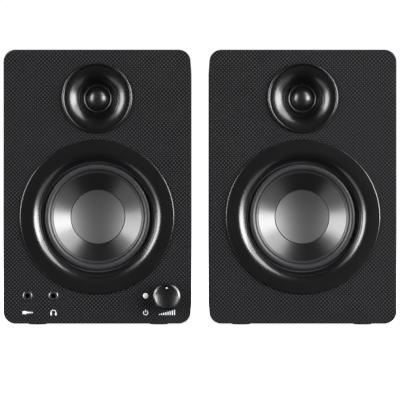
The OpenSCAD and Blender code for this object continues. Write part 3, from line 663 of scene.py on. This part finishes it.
class SPEAKERS_OT_surrounds(bpy.types.Operator):
    """Rubber surrounds between the cone and the basket"""

    bl_idname = "speakers.surrounds"
    bl_label = "Surrounds"

    def execute(self, context):
        sizes = context.scene.speaker_sizes
        thickness = 0.5 * MM
        for at in map(place, SIDES):
            lo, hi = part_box(f"{at.side}_woofer_surround")
            outer = (hi[0] - lo[0]) / 2
            seat = hi[1] - at.face
            roll = sizes.roll_width / 2
            mid = sizes.roll_outer - roll
            hole = sizes.cone_outer
            path = [
                (hole, seat - SINK),
                (hole, seat - 0.12 * MM),
                (mid - roll - 0.1 * MM, seat - thickness * 1.9),
                (mid - roll, seat),
                ("arc", (mid, seat), 180, 20),
                (mid + roll, seat - thickness),
                (outer, seat - thickness),
                (outer, seat - SINK),
                (mid + roll - thickness, seat - SINK),
                ("arc", (mid, seat - SINK), -180, 20),
            ]
            piece = turned(f"{at.side}_surround", path, (at.x, at.face, at.woofer), "surround")
            follow_cone(piece)
            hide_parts(f"{at.side}_woofer_surround")
        return {"FINISHED"}


def follow_cone(piece):
    """Bakes the piece's placement into its mesh."""
    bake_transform(piece)


class SPEAKERS_OT_cones(bpy.types.Operator):
    """Woofer cones with their glued rims, and the dished dust caps"""

    bl_idname = "speakers.cones"
    bl_label = "Cones and dust caps"

    def execute(self, context):
        sizes = context.scene.speaker_sizes
        for at in map(place, SIDES):
            lo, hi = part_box(f"{at.side}_woofer_cone")
            rim = (hi[0] - lo[0]) / 2
            front = lo[1] - at.face
            back = hi[1] - at.face
            coil_lo, coil_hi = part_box(f"{at.side}_woofer_voice_coil")
            neck = (coil_hi[0] - coil_lo[0]) / 2 - 0.4 * MM
            thickness = 0.7 * MM
            slope = (back - thickness - front) / (sizes.cone_outer - neck)
            step = 0.35 * MM
            path = [
                (rim, front),
                (sizes.cone_outer, front, 0.3 * MM),
                (sizes.cone_outer - step, front + step * 0.2, 0.15 * MM),
                (neck, back - thickness),
                (neck, back),
                (sizes.cone_outer, front + thickness, 0.2 * MM),
                (rim, front + thickness),
            ]
            centre = (at.x, at.face, at.woofer)
            cone = turned(f"{at.side}_cone", path, centre, "cone")
            finish_piece(
                cone, f"{at.side}_woofer_cone_body", "cone_poly", f"{at.side}_woofer_cone"
            )
            cap, sag = sizes.cap_radius, sizes.cap_sag
            wall = 0.5 * MM
            dish = (cap * cap + sag * sag) / (2 * sag)
            swing = math.degrees(math.asin(cap / dish))
            edge = front + (sizes.cone_outer - cap) * slope - wall - 0.1 * MM
            pivot = edge + sag - dish
            inner_swing = math.degrees(math.asin(cap / (dish + wall)))
            path = [
                (0, edge + sag),
                ("arc", (0, pivot), -swing, 24),
                (cap, pivot + math.sqrt((dish + wall) ** 2 - cap * cap)),
                ("arc", (0, pivot), inner_swing, 24),
            ]
            piece = turned(f"{at.side}_dust_cap", path, centre, "cap")
            finish_piece(
                piece, f"{at.side}_woofer_cone_body", "cap_poly", f"{at.side}_woofer_dust_cap"
            )
            # A near-black bead round the dust cap's rim: a glue bead, and also the painted shade line where
            # the cap meets the cone
            seat = edge + wall + 0.1 * MM
            bead, proud = 0.5 * MM, 0.04 * MM
            path = [
                (cap - 0.1 * MM, edge - proud),
                (cap + bead, seat - bead * slope - proud),
                (cap, seat),
            ]
            piece = turned(f"{at.side}_cap_bead_and_shade", path, centre, "glue_and_shade")
            finish_piece(piece, f"{at.side}_woofer_cone_body", "surround_rubber")
        return {"FINISHED"}


class SPEAKERS_OT_tweeters(bpy.types.Operator):
    """Waveguides with a bead round the rim, and coated silk domes"""

    bl_idname = "speakers.tweeters"
    bl_label = "Tweeters"

    def execute(self, context):
        sizes = context.scene.speaker_sizes
        for at in map(place, SIDES):
            lo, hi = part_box(f"{at.side}_tweeter_waveguide")
            rim = (hi[0] - lo[0]) / 2
            bead_front = lo[1] - at.face
            back = hi[1] - at.face
            bead, shoulder = 2.1 * MM, 4.3 * MM
            mouth = rim - bead - 0.4 * MM
            lip = -1.0 * MM
            flare = back - 2 * MM - lip
            throat = mouth - flare
            path = [
                (rim, 0),
                (rim, bead_front, bead * 0.47),
                (rim - bead, bead_front, bead * 0.47),
                (rim - bead, lip + 0.5 * MM),
                (mouth, lip + 0.5 * MM),
                (mouth, lip, 0.1 * MM),
                (throat, lip, flare - 0.2 * MM),
                (throat, back),
                (rim - shoulder, back),
                (rim - shoulder, 0),
            ]
            centre = (at.x, at.face, at.tweeter)
            guide = turned(f"{at.side}_waveguide", path, centre, "horn")
            finish_piece(guide, at.body, "waveguide_plastic", f"{at.side}_tweeter_waveguide")
            base = back - 1 * MM
            dome, sphere = sizes.dome_radius, sizes.dome_sphere
            dome_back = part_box(f"{at.side}_tweeter_dome")[1][1] - at.face
            wall = 0.35 * MM
            pivot = base + math.sqrt(sphere**2 - dome**2)
            roll_out = throat - 0.3 * MM
            roll = (roll_out - dome - 0.2 * MM) / 2
            swing = math.degrees(math.asin(dome / sphere))
            back_swing = math.degrees(math.asin((dome - wall) / (sphere - wall)))
            path = [
                (0, pivot - sphere),
                ("arc", (0, pivot), swing, 24),
                (roll_out - 2 * roll, base),
                ("arc", (roll_out - roll, base), 180, 12),
                (roll_out, base + wall),
                (dome, base + wall),
                (dome, dome_back),
                (dome - wall, dome_back),
                (dome - wall, pivot - math.sqrt((sphere - wall) ** 2 - (dome - wall) ** 2)),
                ("arc", (0, pivot), -back_swing, 24),
            ]
            piece = turned(f"{at.side}_dome", path, centre, "silk", SMALL_STEPS)
            finish_piece(
                piece, f"{at.side}_tweeter_dome_body", "dome_silk", f"{at.side}_tweeter_dome"
            )
        return {"FINISHED"}


class SPEAKERS_OT_controls(bpy.types.Operator):
    """Volume knob with its mark, power light, and the two front jacks"""

    bl_idname = "speakers.controls"
    bl_label = "Front controls"

    def execute(self, context):
        sizes = context.scene.speaker_sizes
        at = place("active")
        lo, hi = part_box("volume_knob")
        knob = middle("volume_knob")
        radius = (hi[0] - lo[0]) / 2
        front, back = lo[1], hi[1]
        face, dish = sizes.knob_face, sizes.knob_dish
        curve = (face * face + dish * dish) / (2 * dish)
        swing = math.degrees(math.asin(face / curve))
        bore, web, bevel, taper = 3.08 * MM, 3 * MM, 0.75 * MM, 0.25 * MM
        path = [
            (0, dish),
            ("arc", (0, dish - curve), -swing, 16),
            (radius - taper, bevel, 0.2 * MM),
            (radius, 2 * bevel, 0.3 * MM),
            (radius, back - front, 0.2 * MM),
            (bore, back - front),
            (bore, web),
            (0, web),
        ]
        piece = turned("volume_knob_cap", path, (knob.x, front, knob.z), "knob", SMALL_STEPS)
        finish_piece(piece, "volume_control", "knob_plastic", "volume_knob")
        dot, thick, rise = 0.6 * MM, 0.5 * MM, 6.3 * MM
        sunk = dish * (1 - (rise / face) ** 2)
        path = [(0, 0), (dot, 0, 0.1 * MM), (dot, thick), (0, thick)]
        mark = turned(
            "volume_knob_mark",
            path,
            (knob.x, front + sunk - 0.2 * MM, knob.z + rise),
            "print",
            SMALL_STEPS // 2,
        )
        finish_piece(mark, "volume_control", "knob_plastic")
        lamp = middle("power_led")
        lo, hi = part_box("power_led")
        lens, body, neck_end, body_end = 1.95 * MM, 2.4 * MM, 24 * MM, 27 * MM
        out = at.face - lo[1]
        curve = (lens * lens + out * out) / (2 * out)
        path = [
            (0, -out),
            ("arc", (0, curve - out), math.degrees(math.asin(lens / curve)), 8),
            (lens, neck_end),
            (body, neck_end),
            (body, body_end),
            (0, body_end),
        ]
        light = turned("power_light", path, (lamp.x, at.face, lamp.z), "lens", SMALL_STEPS)
        finish_piece(light, at.body, "led_lens", "power_led")
        for node in ("aux_jack", "headphone_jack"):
            socket = refined(node, "clip", 0.1 * MM, segments=1)
            finish_piece(socket, at.body, "jack_metal")
            lo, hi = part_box(node)
            out = at.face - lo[1] + 0.1 * MM
            nut, hole, slant = 3.55 * MM, 1.95 * MM, 0.75 * MM
            path = [
                (nut, 0),
                (nut, 0.25 * MM - out, 0.3 * MM),
                (nut - slant, -out, 0.3 * MM),
                (hole, 0.45 * MM - out, 0.1 * MM),
                (hole, 0),
            ]
            ring = turned(
                f"{node}_ring",
                path,
                ((lo[0] + hi[0]) / 2, at.face, lamp.z),
                "jack",
                SMALL_STEPS,
            )
            finish_piece(ring, at.body, "jack_metal")
        paint("volume_shaft", "shaft")
        paint("volume_pot", "zinc")
        paint("control_board", "board")
        return {"FINISHED"}


def bar_mark(bm, x, z, width, height, turn=0.0):
    """A flat rectangle of print with its middle at x, z."""
    place_at = Matrix.Translation((x, 0, z)) @ Matrix.Rotation(math.radians(turn), 4, "Y")
    stand = Matrix.Rotation(math.radians(90), 4, "X") @ Matrix.Diagonal((width, height, 1, 1))
    bmesh.ops.create_grid(bm, x_segments=1, y_segments=1, size=0.5, matrix=place_at @ stand)


def arc_mark(bm, x, z, radius, width, start, sweep, steps=20):
    """A curved band of print round x, z, from the start angle, anticlockwise from the right."""
    first = math.radians(start)
    verts = [
        bm.verts.new((x + r * math.cos(first), 0, z + r * math.sin(first)))
        for r in (radius - width / 2, radius + width / 2)
    ]
    edge = bm.edges.new(verts)
    bmesh.ops.spin(
        bm,
        geom=verts + [edge],
        cent=(x, 0, z),
        axis=(0, -1, 0),
        angle=math.radians(sweep),
        steps=steps,
    )


class SPEAKERS_OT_legends(bpy.types.Operator):
    """Printed symbols under the controls: a plug, headphones, a power sign and a rising volume scale"""

    bl_idname = "speakers.legends"
    bl_label = "Printed symbols"

    def execute(self, context):
        at = place("active")
        height = context.scene.speaker_sizes.print_height
        unit = height / 12
        line, ink_depth = 0.55 * MM, 0.1 * MM
        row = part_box("active_cabinet_sleeve")[0][2] + 8.3 * MM
        columns = {
            "plug": middle("aux_jack").x,
            "headphones": middle("headphone_jack").x,
            "power": middle("power_led").x,
            "volume": middle("volume_knob").x,
        }
        for symbol, x in columns.items():
            bm = bmesh.new()
            if symbol == "plug":
                # Place, width and height of the sleeve, the barrel, the ring and the tip, in mm
                for along, wide, tall in (
                    (-2.2, 3.0, 2.2),
                    (0.3, 1.5, 1.1),
                    (2.0, 1.1, 1.1),
                    (3.35, 0.9, 0.9),
                ):
                    bar_mark(bm, x + along * MM, row, wide * MM, tall * MM)
            elif symbol == "headphones":
                arc_mark(bm, x, row - 0.1 * MM, 1.9 * MM, line, 0, 180)
                for side in (-1, 1):
                    bar_mark(bm, x + side * 1.75 * MM, row - 1.05 * MM, 1.1 * MM, 1.9 * MM)
            elif symbol == "power":
                arc_mark(bm, x, row - 0.1 * MM, 1.65 * MM, line, 125, 290, 28)
                bar_mark(bm, x, row + 1.2 * MM, line, 2.0 * MM)
            else:
                for i in range(8):
                    tall = (2 + 1.25 * i) * unit
                    bar_mark(bm, x + (i - 3.5) * 1.6 * MM, row + tall / 2 - 1.75 * MM, 0.8 * MM, tall)
            bmesh.ops.remove_doubles(bm, verts=bm.verts, dist=1e-7)
            bmesh.ops.recalc_face_normals(bm, faces=bm.faces)
            ink = bmesh.ops.extrude_face_region(bm, geom=bm.faces[:])
            moved = [g for g in ink["geom"] if isinstance(g, bmesh.types.BMVert)]
            bmesh.ops.translate(bm, vec=(0, ink_depth, 0), verts=moved)
            bmesh.ops.recalc_face_normals(bm, faces=bm.faces)
            bmesh.ops.translate(bm, vec=(0, at.face - ink_depth / 2, 0), verts=bm.verts)
            piece = make_object(f"{symbol}_symbol", bm, finish_of("print"), 20.0)
            finish_piece(piece, at.body, "led_lens")
        return {"FINISHED"}


class SPEAKERS_OT_ports(bpy.types.Operator):
    """Rear reflex ports with a flared mouth"""

    bl_idname = "speakers.ports"
    bl_label = "Reflex ports"

    def execute(self, context):
        for side in SIDES:
            piece = refined(f"{side}_reflex_port", "port", 0.4 * MM, segments=3)
            finish_piece(piece, f"{side}_cabinet", "port_plastic")
        return {"FINISHED"}


class SPEAKERS_OT_wire_clips(bpy.types.Operator):
    """Sprung wire clips on the back, one red lever and one black on each"""

    bl_idname = "speakers.wire_clips"
    bl_label = "Wire clips"

    def execute(self, context):
        for side in SIDES:
            block = refined(f"{side}_clip_block", "clip", 0.25 * MM)
            finish_piece(block, f"{side}_cabinet", "clip_plastic")
            for tint in ("red", "black"):
                lever = refined(f"{side}_clip_lever_{tint}", f"lever_{tint}", 0.3 * MM, segments=3)
                finish_piece(lever, f"{side}_{tint}_lever", f"lever_{tint}")
        return {"FINISHED"}


class SPEAKERS_OT_amplifier_back(bpy.types.Operator):
    """Amplifier plate with its phono sockets, mains inlet and power switch"""

    bl_idname = "speakers.amplifier_back"
    bl_label = "Amplifier plate"

    def execute(self, context):
        body = "active_cabinet"
        for node, finish, slot, edge in (
            ("amp_plate", "plate", "plate_paint", 0.25 * MM),
            ("mains_inlet", "clip", "inlet_plastic", 0.25 * MM),
            ("power_switch_frame", "clip", "switch_plastic", 0.25 * MM),
            ("phono_sockets", "nickel", "phono_metal", 0.15 * MM),
        ):
            finish_piece(refined(node, finish, edge), body, slot)
        rocker = refined("power_switch_rocker", "lever_black", 0.35 * MM, segments=3)
        finish_piece(rocker, "power_rocker", "rocker_plastic")
        lo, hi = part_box("phono_sockets")
        row = (lo[2] + hi[2]) / 2
        inner, outer, proud = 6.05 * MM, 7.0 * MM, 0.9 * MM
        socket = 6 * MM  # radius of a phono socket
        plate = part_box("amp_plate")[1][1]
        for tint, x in (("red", lo[0] + socket), ("white", hi[0] - socket)):
            path = [
                (inner, SINK),
                (inner, proud, 0.2 * MM),
                (outer, proud, 0.3 * MM),
                (outer, SINK),
            ]
            ring = turned(f"phono_ring_{tint}", path, (x, plate, row), f"phono_{tint}", SMALL_STEPS)
            finish_piece(ring, body, "phono_metal")
        return {"FINISHED"}


class SPEAKERS_OT_inner_works(bpy.types.Operator):
    """Baskets, spiders, motors, boards, heatsink, transformer and screws"""

    bl_idname = "speakers.inner_works"
    bl_label = "Inner works"

    def execute(self, context):
        for side in SIDES:
            for part, finish in (
                ("woofer_basket", "basket"),
                ("woofer_spider", "spider"),
                ("woofer_voice_coil", "copper"),
                ("woofer_top_plate", "zinc"),
                ("woofer_yoke", "zinc"),
                ("woofer_magnet", "ferrite"),
                ("tweeter_motor", "zinc"),
                ("screws", "screw"),
            ):
                paint(f"{side}_{part}", finish)
        for node, finish in (
            ("amp_board", "board"),
            ("heatsink", "alloy"),
            ("transformer", "core"),
            ("passive_crossover", "board"),
        ):
            paint(node, finish)
        return {"FINISHED"}


class SPEAKERS_OT_stage(bpy.types.Operator):
    """Pale floor and backdrop, soft lights and the camera"""

    bl_idname = "speakers.stage"
    bl_label = "Stage"

    def execute(self, context):
        settings = context.scene.speaker_stage
        face = place("active").face
        paper = round_backdrop(settings.paper_glow)
        # The paper neither lights, shades nor is mirrored in the speakers
        paper.visible_glossy = False
        paper.visible_diffuse = False
        paper.visible_shadow = False
        speakers_only = lit_group("all_but_paper", paper, "EXCLUDE")
        paper_only = lit_group("paper", paper, "INCLUDE")
        # name, degrees from the camera, height, distance and size in metres, power. Light from a
        # box that reaches below the floor also falls on the undersides
        for name, angle, height, away, size, power in (
            ("right_soft_box", 53.5, 0.46, 3.0, (2.4, 1.5), settings.right_light),
            ("right_high_soft_box", 51.5, 1.84, 2.5, (2.0, 1.25), settings.right_high_light),
            ("left_soft_box", -51.5, 0.66, 3.0, (1.5, 1.9), settings.left_light),
            ("right_tall_soft_box", 53.5, 0.11, 3.0, (2.4, 6.0), settings.right_tall_light),
            ("left_tall_soft_box", -51.5, 0.11, 3.0, (1.5, 6.0), settings.left_tall_light),
            ("right_side_soft_box", 96, 0.96, 3.25, (1.75, 2.25), settings.right_side_light),
            ("left_side_soft_box", -94, 0.96, 3.25, (1.75, 2.25), settings.left_side_light),
            ("top_soft_box", 180, 3.6, 0.4, (3.0, 1.25), settings.top_light),
            ("back_soft_box", 180, 2.1, 3.25, (4.0, 2.0), settings.back_light),
        ):
            soft_box(name, face, angle, height, away, size, power, speakers_only)
        soft_box("floor_soft_box", face, 0, 2.0, 0.1, (3.0, 3.0), settings.floor_light, paper_only)

        world = bpy.data.worlds.new("studio")
        context.scene.world = world
        world.use_nodes = True
        background = world.node_tree.nodes["Background"]
        background.inputs["Color"].default_value = linear("ffffff")
        background.inputs["Strength"].default_value = settings.room_light

        camera = bpy.data.cameras.new("camera")
        camera.sensor_width = 36.0
        camera.lens = camera.sensor_width * settings.distance / settings.view_width
        camera.clip_end = 50.0
        eye = bpy.data.objects.new("camera", camera)
        eye.location = (0, face - settings.distance, settings.camera_height)
        eye.rotation_euler = (math.radians(90), 0, 0)
        context.scene.collection.objects.link(eye)
        context.scene.camera = eye
        context.scene.view_settings.view_transform = "Standard"
        return {"FINISHED"}


def round_backdrop(glow):
    """A round floor of pale paper that turns up into a wall all round, and gives off some light itself."""
    material, tree, shader = start_material(
        "matt_paper",
        Specular_IOR_Level=0.1,
        Roughness=0.9,
        Emission_Strength=glow,
        Emission_Color=linear("ffffff"),
    )
    fibres = add(
        tree, "ShaderNodeTexNoise", {"Scale": 0.006 / MM, "Detail": 3.0}, {"Vector": mapped(tree)}
    ).outputs["Fac"]
    surface(tree, shader, (fibres, [(0.3, linear("f2f2f2")), (0.7, linear("f6f6f6"))]))
    bm = bmesh.new()
    outline = ((0, 0), (PAPER_RADIUS, 0), (PAPER_RADIUS, PAPER_WALL))
    verts = [bm.verts.new((x, 0, z)) for x, z in outline]
    for pair in zip(verts, verts[1:]):
        bm.edges.new(pair)
    bmesh.ops.bevel(
        bm,
        geom=[verts[1]],
        offset=PAPER_BEND,
        offset_type="OFFSET",
        segments=16,
        profile=0.5,
        affect="VERTICES",
        material=-1,
    )
    bmesh.ops.spin(
        bm,
        geom=bm.verts[:] + bm.edges[:],
        cent=(0, 0, 0),
        axis=(0, 0, 1),
        angle=math.tau,
        steps=96,
        use_merge=True,
    )
    bmesh.ops.remove_doubles(bm, verts=bm.verts[:], dist=1e-4)
    bmesh.ops.recalc_face_normals(bm, faces=bm.faces)
    return make_object("floor_and_backdrop", bm, material)


def lit_group(name, paper, state):
    """A collection for light linking that includes or leaves out the paper."""
    group = bpy.data.collections.new(name)
    group.objects.link(paper)
    for link in group.collection_objects:
        link.light_linking.link_state = state
    return group


def soft_box(name, face, angle, height, away, size, power, lights_up):
    """A rectangular soft light aimed at the speakers, and what it lights up."""
    turn = math.radians(angle)
    spot = Vector((math.sin(turn) * away, face - math.cos(turn) * away, height))
    data = bpy.data.lights.new(name, "AREA")
    data.shape = "RECTANGLE"
    data.size, data.size_y = size
    data.energy = power
    lamp = bpy.data.objects.new(name, data)
    lamp.location = spot
    aim = Vector((0, face, AIM_HEIGHT)) - spot
    lamp.rotation_euler = aim.to_track_quat("-Z", "Y").to_euler()
    bpy.context.scene.collection.objects.link(lamp)
    lamp.light_linking.receiver_collection = lights_up
    lamp.visible_camera = False


# ---------- panel and registration ----------

STEPS = (
    SPEAKERS_OT_cabinets,
    SPEAKERS_OT_trim_rings,
    SPEAKERS_OT_surrounds,
    SPEAKERS_OT_cones,
    SPEAKERS_OT_tweeters,
    SPEAKERS_OT_controls,
    SPEAKERS_OT_legends,
    SPEAKERS_OT_ports,
    SPEAKERS_OT_wire_clips,
    SPEAKERS_OT_amplifier_back,
    SPEAKERS_OT_inner_works,
    SPEAKERS_OT_stage,
)


class SPEAKERS_PT_panel(bpy.types.Panel):
    """Lists the steps that build the speakers"""

    bl_idname = "SPEAKERS_PT_panel"
    bl_label = "Desktop Speakers"
    bl_space_type = "VIEW_3D"
    bl_region_type = "UI"
    bl_category = "Speakers"

    def draw(self, context):
        for group in ("speaker_sizes", "speaker_colours", "speaker_stage"):
            settings = getattr(context.scene, group)
            box = self.layout.box()
            for key in settings.bl_rna.properties.keys():
                if key not in ("rna_type", "name"):
                    box.prop(settings, key)
        for step in STEPS:
            self.layout.operator(step.bl_idname)


SETTINGS = {
    "speaker_sizes": SpeakerSizes,
    "speaker_colours": SpeakerColours,
    "speaker_stage": SpeakerStage,
}


def register():
    for cls in (*SETTINGS.values(), *STEPS, SPEAKERS_PT_panel):
        bpy.utils.register_class(cls)
    for name, cls in SETTINGS.items():
        setattr(bpy.types.Scene, name, bpy.props.PointerProperty(type=cls))


def unregister():
    for name in SETTINGS:
        delattr(bpy.types.Scene, name)
    for cls in (SPEAKERS_PT_panel, *reversed(STEPS), *reversed(list(SETTINGS.values()))):
        bpy.utils.unregister_class(cls)


def main():
    register()
    for step in STEPS:
        group, name = step.bl_idname.split(".")
        getattr(getattr(bpy.ops, group), name)()


if __name__ == "__main__":
    main()
